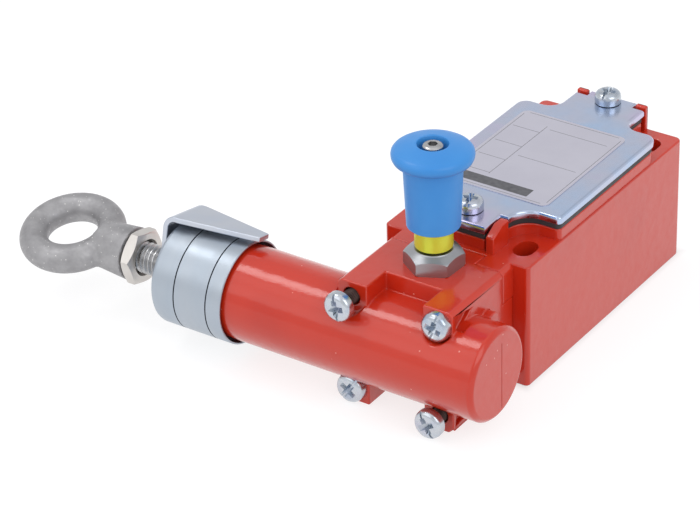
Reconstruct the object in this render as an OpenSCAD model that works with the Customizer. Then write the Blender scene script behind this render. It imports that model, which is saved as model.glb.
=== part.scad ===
// Rope pull safety switch: die-cast body, side-on operating head, sprung pull rod
// with eye nut and tension indicator, pull-to-reset knob and a slow-break contact block.
// Millimetres. +Z is the cover side, +Y runs from the head to the cable inlet, and the
// pull rod leaves towards -X. The origin is the centre of the four fixing slots, on the
// mounting face.

/* [Node] */
// sub-part to draw

/* [Body] */
// width of the switch body across X
body_w = 41; // [36:0.5:46]
// length of the switch body along Y
body_l = 75.5; // [72:0.5:84]
// height from the mounting face to the recess floor
floor_z = 33.6; // [30:0.2:40]
// height of the raised rim above the recess floor
rim_h = 3; // [2:0.1:4]
// casting wall
wall = 3.2; // [2.6:0.1:4]
// spacing of the fixing slots across X
fix_x = 30; // [28:0.5:32]
// spacing of the fixing slots along Y
fix_y = 60; // [58:0.5:62]
// width of each fixing slot
slot_w = 5.3; // [4.8:0.1:5.6]
// length of each fixing slot
slot_l = 7.3; // [6.4:0.1:7.6]
// drilled diameter of the cable inlet before its M20 thread
inlet_d = 18.4; // [17.6:0.1:19]
// depth of the cable inlet's threaded wall
inlet_l = 9; // [7:0.5:10]

/* [Cover] */
// gasket thickness
gasket_t = 1.6; // [1:0.1:2]
// cover plate thickness
plate_t = 2; // [1.2:0.1:2.4]
// half width of the plate's tongue at the head end
tongue_near = 6.8; // [6:0.1:7]
// half width of the plate's tongue at the inlet end
tongue_far = 10; // [9:0.1:10.4]
// radius of the plate's scallop round a head-end slot
scallop_near = 5.6; // [5:0.1:6]
// radius of the plate's scallop at an inlet-end slot
scallop_far = 4; // [3:0.1:5]
// label width
label_w = 29.9; // [26:0.1:31]
// label length
label_l = 40; // [30:0.1:40.4]

/* [Head] */
// width of the head across its ears
head_w = 32.4; // [31:0.1:36]
// width of the gap between the ears
ear_gap = 15.7; // [14:0.1:17]
// distance from the body to the ears' front faces
ear_y = 27; // [25:0.2:29]
// distance from the body to the wall between the ears
notch_y = 18.7; // [18:0.1:21]
// depth of the gap between the ears below the head's top
notch_z = 4.7; // [4:0.1:5.4]
// outer radius of the head's tube
tube_r = 12.1; // [11.6:0.1:13]
// bore radius of the head's tube
bore_r = 9.5; // [9:0.1:10]
// distance from the body to the tube's axis
tube_y = 21.6; // [21:0.1:23]
// closed end of the tube along X
tube_end = 25.3; // [24:0.1:28]
// open end of the tube along X
tube_open = 65.8; // [60:0.1:72]

/* [Rod] */
// pull rod radius (M8)
rod_r = 4; // [3.5:0.1:4.5]
// travel of the pull rod
pull = 20; // [14:1:20]
// slope of the cam: plunger travel for each millimetre of pull
cam_slope = 0.15; // [0.1:0.01:0.15]
// width across the flats of the lock nut
nut_af = 13; // [12:0.5:14]
// mean radius of the eye's ring
eye_r = 10.1; // [9:0.1:13]
// radius of the eye's round section
eye_wire = 3.75; // [3:0.05:4.4]
// distance from the rod's bush to the eye's centre
eye_out = 35.4; // [32:0.2:40]
// roll of the eye about the rod
eye_roll = 11.4; // [0:0.2:20]
// roll of the tension indicator about the rod
indicator_roll = -11.8; // [-20:0.1:20]

/* [Reset] */
// distance from the body to the knob's axis
knob_y = 9.6; // [9:0.1:10.5]
// knob stem radius at its foot
knob_r = 6.55; // [6.2:0.05:7.4]
// radius of the knob's flange
flange_r = 10; // [8.6:0.1:11]
// height of the knob from its foot to its crown
knob_h = 22; // [18:0.2:24]
// travel of the reset knob when it is pulled
reset_pull = 6; // [4:0.5:6]

/* [Fits] */
// radial clearance of a sliding fit
slide_fit = 0.05; // [0.03:0.01:0.08]
// radial clearance round a screw's thread
screw_fit = 0.05; // [0.03:0.01:0.1]
// air left between two moving soft or curved faces
air = 0.3; // [0.3:0.05:0.5]

/* [Hidden] */
$fn = 40;
e = 0.01;
hw = body_w / 2;
yn = -body_l / 2;
yf = body_l / 2;
rim_z = floor_z + rim_h;
plate_z = rim_z + gasket_t;
top_z = plate_z + plate_t;
// slots and the corner recesses that follow them
slot_yn = -fix_y / 2;
slot_yf = fix_y / 2;
near_step = slot_yn + 6.85;
far_step = slot_yf - 5.2;
// the cover sits a little to one side of the body
cover_x = 0.6;
cov_w = hw - cover_x;
near_x = fix_x / 2 + 0.2 - cover_x;
rim_in = 0.4;
// cavity
cav_w = hw - wall + 0.2;
cav_y0 = near_step + 2.4;
cav_y1 = far_step - 3;
cav_z = wall;
inlet_r = inlet_d / 2;
inlet_z = 17;
earth_y = yf - inlet_l - 3.8;
// cover screws
cs_r = 2;
cs_head_r = 3.4;
cs_proud = 1.2;
cs_yn = yn + 7.4;
cs_yf = yf - 3.6;
cs_xn = cover_x - 1.1;
// two lugs of the body that the head fits round
lug_y = 4.6;
lug_z = 24.6;
lug_in = 8.4;
// head
ty = yn - tube_y;
tz = 17;
hs_x = 12.25;
hs_z = 12.6;
hs_r = 2;
hs_head_r = 3.8;
flange_w = head_w / 2;
notch_w = ear_gap / 2;
// plunger and cam
plunger_r = 3.5;
cam_r0 = rod_r + 1.45;
tip_off = cam_r0 + (plunger_r + air) * sqrt(1 + cam_slope * cam_slope);
tip_y = ty + tip_off;
stroke = pull * cam_slope;
// contact block
blk_w = 14.5;
blk_y0 = cav_y0 + 0.1;
blk_y1 = blk_y0 + 42;
blk_z = 22;
blk_front = blk_y0 + 7;
blk_rear = blk_y1 - 13;
pocket_w = 12.5;
pocket_z = 9;
br1_y = blk_front + 4.5;
br2_y = blk_front + 13;
br_t = 1;
term_x = 8.3;
term_yn = blk_y0 + 3.5;
term_yf = blk_rear + 4.5;
bs_x = 11.5;
bs_y = blk_y1 - 2.7;
plunger_end = blk_rear + 3.5;
spring_end = blk_y1 - 1.5;
// rod group along X
collar_t = 1.3;
bush_l = 6.5;
seat_x = -8;
neck_x = -tube_open - 15.6;
eye_x = -tube_open - eye_out;
nut_x = -tube_open - 12.05;
nut_l = 3.2;
ind_h = 15.7;
ind_t = 1.4;
ind_front = -tube_open - 3.6;
ind_tip = -tube_open + 22.4;
ind_shoulder = -tube_open + 0.7;
// reset group along Z
ky = yn - knob_y;
bush_top = floor_z + 4.9;
band_z = bush_top + 0.4;
knob_z = bush_top + 6;
crown_z = knob_z + knob_h;
recess_d = 2.8;
stem_r = 2.5;
stem_z = tz + plunger_r + 1;
chamber_r = 4.6;
bush_deep = 5;

// ---- helpers ----

// block from corner a to corner b
module box(a, b) {
  translate(a) cube([b[0] - a[0], b[1] - a[1], b[2] - a[2]]);
}

// cylinder along X from x0 to x1 about the tube's axis
module on_rod(x0, x1, r, r2 = 0) {
  translate([x0, ty, tz]) rotate([0, 90, 0])
    cylinder(h = x1 - x0, r1 = r, r2 = r2 == 0 ? r : r2);
}

// cylinder along Y from y0 to y1 at x and z
module along_y(x, z, y0, y1, r) {
  translate([x, y0, z]) rotate([-90, 0, 0]) cylinder(h = y1 - y0, r = r);
}

// both signs of X
module both_x() {
  children();
  mirror([1, 0, 0]) children();
}

// cover outline, drawn in by a margin, from z0 to z1
module cover_shape(z0, z1, m) {
  translate([cover_x, 0, 0]) difference() {
    box([-cov_w + m, yn + 1.4 + m, z0], [cov_w - m, yf - 0.1 - m, z1]);
    both_x() {
      // head end: notch behind the post, scallop round the slot, straight edge
      box([tongue_near - m, yn - 1, z0 - 1], [hw + 1, yn + 8.6 + m, z1 + 1]);
      translate([near_x, slot_yn + 1.25, z0 - 1])
        cylinder(h = z1 - z0 + 2, r = scallop_near + m);
      box([near_x, yn, z0 - 1], [hw + 1, near_step + m, z1 + 1]);
      corner(cov_w - m, near_step + m, 1.3, z0, z1, 1);
      // inlet end: straight edge, scallop, tongue that narrows beside the post
      box([tongue_far - m, far_step + scallop_far, z0 - 1], [hw + 1, yf + 1, z1 + 1]);
      translate([tongue_far + scallop_far, far_step + scallop_far, z0 - 1])
        cylinder(h = z1 - z0 + 2, r = scallop_far + m);
      box([tongue_far + scallop_far, far_step - m, z0 - 1], [hw + 1, yf + 1, z1 + 1]);
      box([6.9 - m, yf - 2.6 - m, z0 - 1], [hw, yf + 1, z1 + 1]);
      corner(cov_w - m, far_step - m, 3, z0, z1, -1);
    }
  }
}

// cutter that rounds the outer corner at (x, y); s is the side the plate lies on
module corner(x, y, r, z0, z1, s) {
  difference() {
    box([x - r, min(y, y + s * r) - (s > 0 ? 1 : 0), z0 - 1],
        [x + 1, max(y, y + s * r) + (s > 0 ? 0 : 1), z1 + 1]);
    translate([x - r, y + s * r, z0 - 2]) cylinder(h = z1 - z0 + 4, r = r);
  }
}

// hollow of the body from z0 to z1
module cavity(z0, z1) {
  box([-cav_w, cav_y0, z0], [cav_w, cav_y1, z1]);
  box([-5, yn + wall, z0], [5, cav_y0 + 1, z1]);
  box([-8.5, cav_y1 - 1, z0], [8.5, yf - inlet_l, z1]);
}

// slot along Y with round ends
module slot(x, y, w, l, z0, z1) {
  for (s = [-1, 1])
    translate([x, y + s * (l - w) / 2, z0]) cylinder(h = z1 - z0, r = w / 2);
  box([x - w / 2, y - (l - w) / 2, z0], [x + w / 2, y + (l - w) / 2, z1]);
}

// pan head with a domed crown, shank downwards from z = 0
module pan_screw(head_r, head_h, shank_r, shank_l) {
  rotate_extrude() polygon([
    [0, -shank_l], [shank_r - 0.4, -shank_l], [shank_r, -shank_l + 0.4], [shank_r, 0],
    [head_r, 0], [head_r, head_h * 0.45], [head_r * 0.94, head_h * 0.68],
    [head_r * 0.78, head_h * 0.86], [head_r * 0.5, head_h * 0.97], [0, head_h]
  ]);
}

// cross recess cut into a pan head
module cross(r, z, deep) {
  for (a = [0, 90])
    rotate([0, 0, a]) box([-r * 0.62, -r * 0.12, z - deep], [r * 0.62, r * 0.12, z + 1]);
}

module cross_screw(head_r, head_h, shank_r, shank_l) {
  difference() {
    pan_screw(head_r, head_h, shank_r, shank_l);
    rotate([0, 0, 45]) cross(head_r, head_h, 1.1);
  }
}

// ridged sleeve in a spring's place, from z = 0 to z = l
module coil(l, r, turns, wire) {
  pitch = l / turns;
  rotate_extrude($fn = 24) polygon(concat(
    [for (i = [0:turns - 1]) each [
      [r, i * pitch], [r + wire / 2, (i + 0.5) * pitch]]],
    [[r, l]],
    [for (i = [turns - 1:-1:0]) each [
      [r - wire / 2, (i + 0.5) * pitch], [r - wire * 0.7, i * pitch]]]
  ));
}

// ---- body and cover ----

module switch_body() {
  color("crimson") difference() {
    union() {
      difference() {
        union() {
          box([-hw, yn, 0], [hw, yf, floor_z]);
          cover_shape(floor_z - e, rim_z, rim_in);
          lugs();
          posts();
        }
        cavity(cav_z, rim_z + 1);
      }
      // pillars of the cover screws and the inlet's wall
      translate([cover_x, 0, 0]) {
        box([-5.2, yn + wall - 1, lug_z], [5.2, cs_yn + 4.4, rim_z]);
        box([-5.2, cs_yf - 5.4, inlet_z + inlet_r + 1.2], [5.2, yf - 1, rim_z]);
      }
      translate([-4.6, earth_y, cav_z - 1]) cylinder(h = 4.2, r = 3.4);
    }
    // fixing slots right through
    for (x = [-fix_x / 2, fix_x / 2], y = [slot_yn, slot_yf])
      slot(x, y, slot_w, slot_l, -1, floor_z + 1);
    // cable inlet
    along_y(0, inlet_z, yf - inlet_l - 1, yf + 1, inlet_r);
    along_y(0, inlet_z, yf - 1, yf + 1, inlet_r + 0.8);
    // plunger's way in from the head
    along_y(0, tz, yn - 1, yn + wall + 1, plunger_r + slide_fit);
    // threaded holes
    translate([cs_xn, cs_yn, rim_z - 11]) cylinder(h = 12, r = cs_r + screw_fit);
    translate([cover_x, cs_yf, rim_z - 8.4]) cylinder(h = 9.4, r = cs_r + screw_fit);
    for (x = [-hs_x, hs_x], z = [tz - hs_z, tz + hs_z])
      along_y(x, z, yn - lug_y - 1, yn + 3.6, hs_r + screw_fit);
    for (x = [-bs_x, bs_x])
      translate([x, bs_y, 0.8]) cylinder(h = 4, r = 1.45 + screw_fit);
    translate([-4.6, earth_y, 1]) cylinder(h = 8, r = 1.7 + screw_fit);
    // vertical corners and shallow draught lines of the casting
    both_x() {
      corner(hw, yn, 1.2, 0, rim_z, 1);
      corner(hw, yf, 1.8, 0, rim_z, -1);
    }
  }
}

// lugs at the body's top corners, which take the head's upper screws
module lugs() {
  both_x() difference() {
    box([lug_in, yn - lug_y, lug_z], [flange_w, yn + 1, floor_z]);
    edge_bevel();
  }
}

// bevel along the outer edge of the head's top and of the lugs
module edge_bevel() {
  translate([flange_w, yn - ear_y - 1, floor_z - 1]) rotate([0, -45, 0])
    cube([4, ear_y + 2, 4]);
}

// upright stops beside the cover's two tongues
module posts() {
  translate([cover_x, 0, 0]) both_x() {
    difference() {
      box([tongue_near + 0.4, yn + 1, floor_z - e], [9.5, yn + 8.1, top_z - 0.2]);
      translate([tongue_near + 0.3, yn + 1, top_z - 2.2]) rotate([28, 0, 0])
        box([-1, -4, 0], [4, 6, 5]);
    }
    box([7, yf - 2, floor_z - e], [10.1, yf - 0.6, top_z + 0.3]);
  }
}

module cover_gasket() {
  color("dimgray") difference() {
    cover_shape(rim_z, plate_z, rim_in);
    cavity(rim_z - 1, plate_z + 1);
    for (c = [[cs_xn, cs_yn], [cover_x, cs_yf]])
      translate([c[0], c[1], rim_z - 1]) cylinder(h = 4, r = cs_r + 0.2);
  }
  color("dimgray") translate([cover_x, 0, 0]) gasket_pads();
}

// gasket round the two cover screws
module gasket_pads() {
  for (y = [[yn + wall - 0.5, cs_yn + 4.2], [cs_yf - 4.2, yf - inlet_l + 0.5]])
    difference() {
      box([-5.4, y[0], rim_z], [5.4, y[1], plate_z]);
      for (c = [[cs_xn - cover_x, cs_yn], [0, cs_yf]])
        translate([c[0], c[1], rim_z - 1]) cylinder(h = 4, r = cs_r + 0.2);
    }
}

module cover_plate() {
  color("lightsteelblue") difference() {
    cover_shape(plate_z, top_z, 0);
    for (c = [[cs_xn, cs_yn], [cover_x, cs_yf]])
      translate([c[0], c[1], plate_z - 1]) cylinder(h = 4, r = cs_r + 0.2);
  }
}

module rating_label() {
  color("silver") difference() {
    translate([cover_x - 0.8, 0, 0])
      box([-label_w / 2, -0.4 - label_l / 2, top_z], [label_w / 2, label_l / 2 - 0.4, top_z + 0.15]);
    for (s = [-1, 1], t = [-1, 1])
      translate([cover_x - 0.8 + s * label_w / 2, t * label_l / 2 - 0.4, top_z]) rotate([0, 0, 45])
        translate([-0.8, -0.8, -1]) cube([1.6, 1.6, 3]);
  }
}

module cover_screws() {
  color("silver") for (c = [[cs_xn, cs_yn, 10], [cover_x, cs_yf, 7.6]])
    translate([c[0], c[1], top_z + cs_proud]) rotate([0, 0, c[2] * 9])
      cross_screw(cs_head_r, 2.6, cs_r, c[2] + gasket_t + plate_t + cs_proud);
}

// ---- head ----

module operating_head() {
  color("crimson") difference() {
    union() {
      box([-flange_w, yn - notch_y, 0], [flange_w, yn, floor_z]);
      both_x() ear();
      on_rod(-tube_open, tube_end - 1, tube_r);
      on_rod(tube_end - 1, tube_end, tube_r, tube_r - 1);
      // small boss on the side wall over the tube
      both_x() translate([flange_w - 1, yn - 12.6, tz + 8]) rotate([0, 90, 0])
        cylinder(h = 3.4, r = 2.3);
    }
    both_x() {
      edge_bevel();
      translate([flange_w, yn - ear_y - 1, 0]) rotate([0, 45, 0])
        translate([-1, 0, -2]) cube([4, ear_y + 2, 4 - 1.3]);
      // pocket behind each ear's flange
      for (m = [0, 1]) side_pocket(m);
      // room for the body's lugs
      box([lug_in, yn - lug_y, lug_z], [flange_w + 1, yn + 1, floor_z + 1]);
    }
    // gaps between the ears, above and below the tube
    for (z = [[-1, notch_z], [floor_z - notch_z, floor_z + 1]])
      box([-notch_w, yn - ear_y - 1, z[0]], [notch_w, yn - notch_y, z[1]]);
    on_rod(-tube_open - 1, tube_end - 3.3, bore_r);
    // plunger bore and its seal's seat
    along_y(0, tz, ty, yn + 1, plunger_r + slide_fit);
    along_y(0, tz, yn - 1.6, yn + 1, 5.2);
    // reset chamber under the bushing
    translate([0, ky, stem_z - 0.5]) cylinder(h = 20, r = chamber_r);
    translate([0, ky, floor_z - bush_deep]) cylinder(h = 20, r = 6);
    // screw holes, with a seat sunk into the tube's side for each head
    for (x = [-hs_x, hs_x], z = [tz - hs_z, tz + hs_z]) {
      along_y(x, z, yn - ear_y - 1, yn + 1, hs_r + 0.25);
      along_y(x, z, yn - ear_y - 6, yn - ear_y, hs_head_r + 0.3);
    }
  }
}

// ear beside the gap, flush with the head's side wall
module ear() {
  box([notch_w, yn - ear_y, 0], [flange_w, yn - notch_y + 1, floor_z]);
}

// three-cornered pocket in the side wall; m = 1 gives the lower one
module side_pocket(m) {
  translate([0, 0, m * 2 * tz]) mirror([0, 0, m])
    translate([flange_w - 1.3, 0, 0]) rotate([90, 0, 90]) linear_extrude(height = 3)
      polygon([
        [yn - ear_y + 1.1, 2 * tz - 1.8], [yn - notch_y, 2 * tz - 3], [yn - ear_y + 2.1, 2 * tz - 7]
      ]);
}

module head_screws() {
  // two diagonal screws are driven home and two stand out
  color("silver") for (s = [[1, 1, 0], [-1, -1, 0], [-1, 1, 4.4], [1, -1, 3.4]])
    translate([s[0] * hs_x, yn - ear_y - s[2], tz + s[1] * hs_z]) rotate([90, 0, 0])
      rotate([0, 0, s[0] * 20 + s[1] * 30])
        cross_screw(hs_head_r, 2.8, hs_r, ear_y + s[2] + 3.3 - s[2]);
}

module plunger_seal() {
  color("dimgray") difference() {
    along_y(0, tz, yn - 1.6, yn, 5.2);
    along_y(0, tz, yn - 3, yn + 1, plunger_r + slide_fit);
  }
}

// ---- pull rod group ----

module indicator_collar() {
  color("lightsteelblue") translate([-tube_open - collar_t, ty, tz]) rotate([0, 90, 0])
    rotate_extrude($fn = 64) polygon([
      [rod_r + 1.2, 0], [tube_r, 0], [tube_r + 0.9, 0.4], [tube_r + 1.3, 1.3],
      [tube_r + 1.3, 6.9], [tube_r + 0.9, 7.3], [tube_r + 1.3, 7.7],
      [tube_r + 1.3, 16.5], [tube_r + 0.9, 16.9], [tube_r + 1.3, 17.3],
      [tube_r + 1.3, 20.8], [tube_r + 0.9, 21.2], [tube_r + slide_fit, 21.2],
      [tube_r + slide_fit, collar_t], [rod_r + 1.2, collar_t]
    ]);
}

module rod_bush() {
  color("goldenrod") translate([-tube_open, ty, tz]) rotate([0, 90, 0])
    rotate_extrude() polygon([
      [rod_r + slide_fit, 2.2], [rod_r + 1.8, 2.2], [rod_r + 1.8, 0], [bore_r, 0],
      [bore_r, bush_l], [bore_r - 2.8, bush_l], [bore_r - 2.8, bush_l - 1],
      [rod_r + slide_fit, bush_l - 1]
    ]);
}

module rod_seal() {
  color("dimgray") difference() {
    on_rod(-tube_open, -tube_open + 2.2, rod_r + 1.8);
    on_rod(-tube_open - 1, -tube_open + 3, rod_r + slide_fit);
  }
}

module pull_rod() {
  color("silver") difference() {
    union() {
      on_rod(neck_x - 5, tube_end - 4.9, rod_r);
      on_rod(neck_x - 6, neck_x - 5, rod_r - 1, rod_r);
    }
    // groove of the retaining ring
    difference() {
      on_rod(seat_x + 1.5, seat_x + 2.7, rod_r + 1);
      on_rod(seat_x + 1, seat_x + 3, rod_r - 0.5);
    }
  }
}

module lock_nut() {
  color("wheat") difference() {
    intersection() {
      translate([nut_x - nut_l, ty, tz]) rotate([0, 90, 0]) rotate([0, 0, 18])
        cylinder(h = nut_l, r = nut_af / sqrt(3), $fn = 6);
      union() {
        on_rod(nut_x - nut_l, nut_x - nut_l + 1, nut_af / 2, nut_af / 2 + 1.7);
        on_rod(nut_x - nut_l + 1, nut_x - 1, nut_af / 2 + 1.7);
        on_rod(nut_x - 1, nut_x, nut_af / 2 + 1.7, nut_af / 2);
      }
    }
    on_rod(nut_x - nut_l - 1, nut_x + 1, rod_r + 0.02);
  }
}

module eye_nut() {
  color("lightgray") difference() {
    translate([eye_x, ty, tz]) rotate([eye_roll, 0, 0]) union() {
      rotate_extrude() translate([eye_r, 0]) circle(r = eye_wire, $fn = 24);
      difference() {
        rotate([0, 90, 0]) cylinder(h = neck_x - eye_x, r1 = 5.2, r2 = 6.9);
        translate([0, 0, -10]) cylinder(h = 20, r = eye_r);
      }
    }
    on_rod(neck_x - 6.4, neck_x + 1, rod_r + 0.02);
  }
}

module tension_indicator() {
  color("lightsteelblue") translate([0, ty, tz]) rotate([indicator_roll, 0, 0]) {
    difference() {
      union() {
        // leg on the rod, with its round foot
        translate([ind_front, 0, 0]) rotate([0, 90, 0]) cylinder(h = ind_t, r = 6.6);
        box([ind_front, -6.2, 0], [ind_front + ind_t, 6.2, ind_h - 3.5]);
        // bend
        intersection() {
          translate([ind_front + 3.5, 6.2, ind_h - 3.5]) rotate([90, 0, 0])
            cylinder(h = 12.4, r = 3.5);
          box([ind_front - 1, -7, ind_h - 3.5], [ind_front + 3.5, 7, ind_h + 1]);
        }
        // pointer that tapers to its tip
        translate([0, 0, ind_h - ind_t]) linear_extrude(height = ind_t) polygon([
          [ind_front + 3.5, -6.2], [ind_shoulder, -6.2], [ind_tip, -2],
          [ind_tip, 2], [ind_shoulder, 6.2], [ind_front + 3.5, 6.2]
        ]);
      }
      // inside of the bend
      translate([ind_front + 3.5, 8, ind_h - 3.5]) rotate([90, 0, 0])
        cylinder(h = 16, r = 3.5 - ind_t);
      translate([ind_front - 1, 0, 0]) rotate([0, 90, 0]) cylinder(h = 4, r = rod_r + 0.02);
    }
  }
}

module spring_seat() {
  color("silver") difference() {
    on_rod(seat_x, seat_x + 1.5, bore_r - 0.9);
    on_rod(seat_x - 1, seat_x + 3, rod_r + 0.02);
  }
}

module retaining_ring() {
  color("dimgray") difference() {
    on_rod(seat_x + 1.5, seat_x + 2.7, rod_r + 1.5);
    on_rod(seat_x, seat_x + 4, rod_r - 0.48);
    box([seat_x, ty - 1.4, tz - 9], [seat_x + 4, ty + 1.4, tz]);
  }
}

module cam_sleeve() {
  x0 = seat_x + 3;
  x1 = tube_end - 4;
  color("goldenrod") difference() {
    on_rod(x0, x1, cam_r0 + cam_slope * x0, cam_r0 + cam_slope * x1);
    on_rod(x0 - 1, x1 + 1, rod_r + 0.02);
  }
}

module tension_spring() {
  color("silver") translate([-tube_open + bush_l, ty, tz]) rotate([0, 90, 0])
    coil(tube_open - bush_l + seat_x, 7.2, 13, 1.4);
}

// ---- reset group ----

module reset_bushing() {
  color("gainsboro") translate([0, ky, 0]) difference() {
    union() {
      intersection() {
        translate([0, 0, floor_z]) rotate([0, 0, 27])
          cylinder(h = bush_top - floor_z, r = 13 / sqrt(3), $fn = 6);
        union() {
          translate([0, 0, floor_z]) cylinder(h = 3.2, r = 8);
          translate([0, 0, floor_z + 3.2]) cylinder(h = bush_top - floor_z - 3.2, r1 = 7.6, r2 = 5);
        }
      }
      translate([0, 0, floor_z - bush_deep]) cylinder(h = bush_deep + 1, r = 6);
    }
    translate([0, 0, floor_z - bush_deep - 1]) cylinder(h = bush_deep + 2.9, r = chamber_r);
    translate([0, 0, floor_z]) cylinder(h = 10, r = stem_r + slide_fit);
    translate([0, 0, bush_top - 1.4]) cylinder(h = 3, r = 4);
  }
}

module reset_seal() {
  color("dimgray") translate([0, ky, bush_top - 1.4]) difference() {
    cylinder(h = 1.4, r = 4);
    translate([0, 0, -1]) cylinder(h = 4, r = stem_r + slide_fit);
  }
}

module reset_stem() {
  color("silver") translate([0, ky, 0]) difference() {
    union() {
      translate([0, 0, stem_z]) cylinder(h = knob_z + 13.6 - stem_z, r = stem_r);
      translate([0, 0, stem_z]) cylinder(h = 1.4, r = chamber_r - 0.1);
    }
    translate([0, 0, knob_z + 5]) cylinder(h = 20, r = 1.25);
  }
}

module yellow_band() {
  color("gold") translate([0, ky, 0]) difference() {
    translate([0, 0, band_z]) cylinder(h = knob_z - band_z, r = 4.7);
    translate([0, 0, band_z - 1]) cylinder(h = 20, r = stem_r);
  }
}

module reset_knob() {
  color("cornflowerblue") translate([0, ky, knob_z]) rotate_extrude($fn = 72) polygon([
    [stem_r, 0], [knob_r - 0.3, 0], [knob_r, 0.3], [knob_r + 0.7, knob_h - 5.6],
    [knob_r + 0.85, knob_h - 4.9], [flange_r - 0.9, knob_h - 4.5], [flange_r - 0.4, knob_h - 4.1],
    [flange_r - 0.08, knob_h - 3.4], [flange_r, knob_h - 2.7], [flange_r - 0.12, knob_h - 2.1],
    [flange_r - 0.5, knob_h - 1.6], [flange_r - 1.2, knob_h - 1.15],
    [flange_r - 3.2, knob_h - 0.5], [3.96, knob_h], [3.76, knob_h - 0.2],
    [3.76, knob_h - recess_d], [1.45, knob_h - recess_d], [1.45, 13.6], [stem_r, 13.6]
  ]);
}

module knob_screw() {
  color("silver") translate([0, ky, crown_z - recess_d]) difference() {
    union() {
      pan_screw(2.6, 2.4, 1.2, 10);
      cylinder(h = 0.5, r = 3.2);
    }
    translate([0, 0, 1.3]) cylinder(h = 3, r = 1.1, $fn = 6);
  }
}

module reset_spring() {
  color("silver") translate([0, ky, stem_z + 1.4])
    coil(floor_z + 1.9 - stem_z - 1.4, 3.7, 6, 1);
}

// ---- contacts ----

module contact_plunger() {
  color("ivory") union() {
    translate([0, tip_y, tz]) sphere(r = plunger_r, $fn = 32);
    along_y(0, tz, tip_y, plunger_end, plunger_r);
  }
}

module contact_bridges() {
  color("goldenrod") for (y = [br1_y, br2_y])
    difference() {
      box([-11.4, y, tz - 4.6], [11.4, y + br_t, tz + 4.5]);
      along_y(0, tz, y - 1, y + 3, plunger_r + 0.02);
    }
}

module contact_block() {
  color("darkslategray") difference() {
    box([-blk_w, blk_y0, cav_z], [blk_w, blk_y1, blk_z]);
    box([-pocket_w, blk_front, pocket_z], [pocket_w, blk_rear, blk_z + 1]);
    along_y(0, tz, blk_y0 - 1, spring_end, plunger_r + slide_fit);
    for (x = [-term_x, term_x], y = [term_yn, term_yf])
      translate([x, y, blk_z - 7]) cylinder(h = 9, r = 1.5 + screw_fit);
    for (x = [-bs_x, bs_x])
      translate([x, bs_y, 0]) cylinder(h = 40, r = 1.45 + screw_fit);
  }
}

module fixed_contacts() {
  y1 = br1_y - air;
  y2 = br2_y + br_t + stroke + air;
  color("goldenrod") both_x() difference() {
    union() {
      box([6.5, blk_y0 + 0.3, blk_z], [10.1, y1, blk_z + 1]);
      box([6.5, y1 - 1, tz - 3], [10.1, y1, blk_z + 1]);
      box([6.5, y2, blk_z], [10.1, term_yf + 3.2, blk_z + 1]);
      box([6.5, y2, tz - 3], [10.1, y2 + 1, blk_z + 1]);
    }
    for (y = [term_yn, term_yf])
      translate([term_x, y, blk_z - 1]) cylinder(h = 4, r = 1.5 + screw_fit);
  }
}

module terminal_clamps() {
  color("silver") for (x = [-term_x, term_x], y = [term_yn, term_yf])
    difference() {
      box([x - 3.3, y - 3.2, blk_z + 1], [x + 3.3, y + 3.2, blk_z + 2.2]);
      translate([x, y, blk_z]) cylinder(h = 4, r = 1.5 + screw_fit);
    }
}

module terminal_screws() {
  color("silver") for (x = [-term_x, term_x], y = [term_yn, term_yf])
    translate([x, y, blk_z + 2.2]) cross_screw(2.9, 2.1, 1.5, 8.6);
}

module block_screws() {
  color("silver") for (x = [-bs_x, bs_x])
    translate([x, bs_y, blk_z]) cross_screw(2.4, 1.8, 1.45, blk_z - 1.2);
}

module contact_spring() {
  color("silver") translate([0, plunger_end, tz]) rotate([-90, 0, 0])
    coil(spring_end - plunger_end, 2.6, 5, 0.9);
}

module earth_screw() {
  color("goldenrod") translate([-4.6, earth_y, cav_z + 3.2])
    cross_screw(2.9, 2, 1.7, 5);
}

switch_body();
cover_gasket();
cover_plate();
rating_label();
cover_screws();
operating_head();
head_screws();
indicator_collar();
rod_bush();
rod_seal();
pull_rod();
lock_nut();
eye_nut();
tension_indicator();
spring_seat();
retaining_ring();
cam_sleeve();
tension_spring();
reset_bushing();
reset_seal();
reset_stem();
yellow_band();
reset_knob();
knob_screw();
reset_spring();
contact_plunger();
plunger_seal();
contact_bridges();
contact_block();
fixed_contacts();
terminal_clamps();
terminal_screws();
block_screws();
contact_spring();
earth_screw();
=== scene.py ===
from math import cos, pi, radians, sin, sqrt

import bmesh
import bpy
from mathutils import Matrix, Vector


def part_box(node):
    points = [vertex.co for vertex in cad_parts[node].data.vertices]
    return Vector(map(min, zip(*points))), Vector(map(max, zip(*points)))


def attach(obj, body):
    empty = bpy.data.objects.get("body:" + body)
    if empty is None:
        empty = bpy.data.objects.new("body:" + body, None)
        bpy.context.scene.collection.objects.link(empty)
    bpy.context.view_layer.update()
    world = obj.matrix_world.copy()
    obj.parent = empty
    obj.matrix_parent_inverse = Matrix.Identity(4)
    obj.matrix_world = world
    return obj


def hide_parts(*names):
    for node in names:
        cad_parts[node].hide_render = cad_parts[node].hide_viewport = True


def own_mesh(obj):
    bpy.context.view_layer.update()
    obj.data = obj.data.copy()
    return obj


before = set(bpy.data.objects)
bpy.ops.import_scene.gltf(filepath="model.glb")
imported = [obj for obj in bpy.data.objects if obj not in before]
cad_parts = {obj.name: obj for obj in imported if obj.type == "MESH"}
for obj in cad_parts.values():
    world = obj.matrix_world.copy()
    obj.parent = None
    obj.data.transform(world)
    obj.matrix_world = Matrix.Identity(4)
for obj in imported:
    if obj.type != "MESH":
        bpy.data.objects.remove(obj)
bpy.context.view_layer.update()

MM = 0.001
X, Y, Z = Vector((1, 0, 0)), Vector((0, 1, 0)), Vector((0, 0, 1))

# ---- Camera, table and light ----
# The switch lies with its mounting face on a white studio table, under a large soft lamp
# and inside a pale tent that lights it evenly from every side.

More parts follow.
